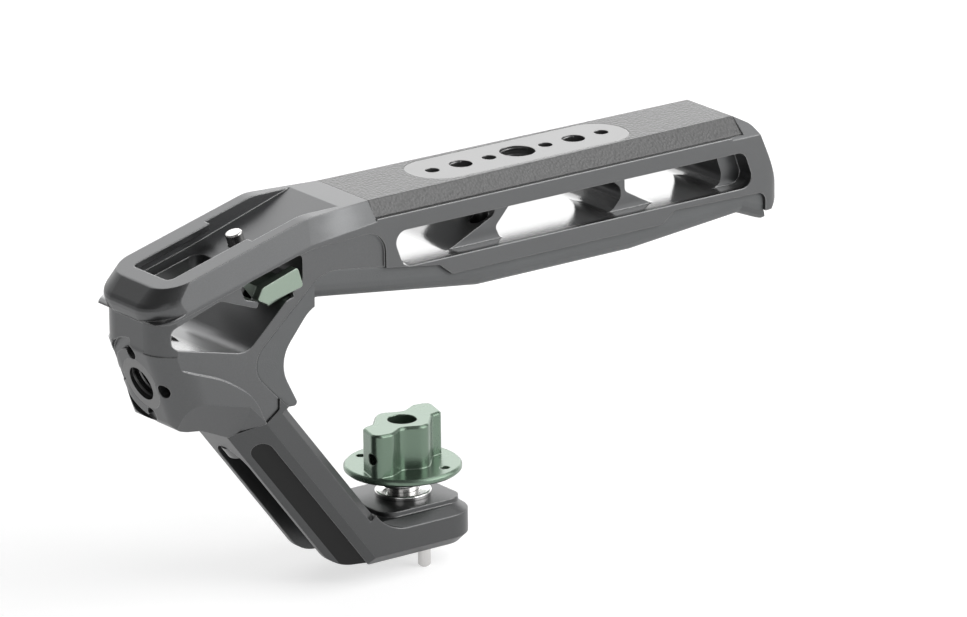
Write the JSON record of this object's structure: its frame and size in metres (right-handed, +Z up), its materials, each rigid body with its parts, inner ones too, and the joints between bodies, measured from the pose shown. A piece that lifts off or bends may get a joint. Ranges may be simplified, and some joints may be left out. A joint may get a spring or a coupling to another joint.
{
  "type": "camera top handle",
  "caption": "Camera top handle with a padded grip, cold shoe with a sprung lock pin, threaded accessory holes and a captive thumb-screw foot.",
  "frame": {"origin": "on the foot's underside, on the axis of the captive mounting screw", "axes": "+X to the grip's rear end, +Y away from the release button's side, +Z up, out of the grip's top face"},
  "size_m": [0.1766, 0.0274, 0.0914],
  "materials": {
    "body_metal": "satin grey anodised",
    "arm_metal": "satin grey anodised",
    "plate_metal": "satin grey anodised",
    "pad_rubber": "fine pebbled texture",
    "grip_rubber": "matt moulded",
    "green_anodised": "satin green anodised",
    "button_green": "satin pale green anodised",
    "steel": "turned",
    "dark_steel": "black oxide",
    "chrome": "polished",
    "spring_steel": "drawn wire"
  },
  "bodies": {
    "handle": {"handle_frame": "body_metal", "lower_arm": "arm_metal", "grip_insert": "grip_rubber", "top_pad": "pad_rubber", "thread_plate": "plate_metal", "plate_screws": "dark_steel", "front_thread_insert": "dark_steel", "lock_pin_bush": "dark_steel", "lock_pin_spring": "spring_steel", "screw_collar": "chrome", "screw_spring": "spring_steel", "locating_pins": "steel", "arm_screw": "dark_steel", "arm_dowels": "steel"},
    "shoe_pin": {"lock_pin": "steel", "lock_pin_foot": "steel"},
    "button": {"release_button": "button_green"},
    "washer": {"thrust_washer": "steel"},
    "knob": {"mounting_knob": "green_anodised", "mounting_screw": "steel", "knob_set_screw": "dark_steel"}
  },
  "joints": [
    {"name": "button_press", "type": "slide", "parent": "handle", "child": "button", "axis": [0, 1, 0], "range_m": [0, 0.0029], "stiffness_N_per_m": 500, "springref_m": -0.003},
    {"name": "pin_drop", "type": "slide", "parent": "handle", "child": "shoe_pin", "axis": [0.297, 0, -0.9549], "range_m": [0, 0.0027], "stiffness_N_per_m": 300, "springref_m": -0.002, "deforming": ["lock_pin_spring"]},
    {"name": "screw_drop", "type": "slide", "parent": "handle", "child": "washer", "axis": [0, 0, -1], "range_m": [0, 0.0055], "stiffness_N_per_m": 250, "springref_m": -0.004, "deforming": ["screw_spring"]},
    {"name": "knob_turn", "type": "hinge", "parent": "washer", "child": "knob", "pos_m": [0, 0, 0.0225], "axis": [0, 0, 1], "continuous": true}
  ],
  "couplings": [
    {"joint": "pin_drop", "follows": "button_press", "ratio": 0.931}
  ]
}
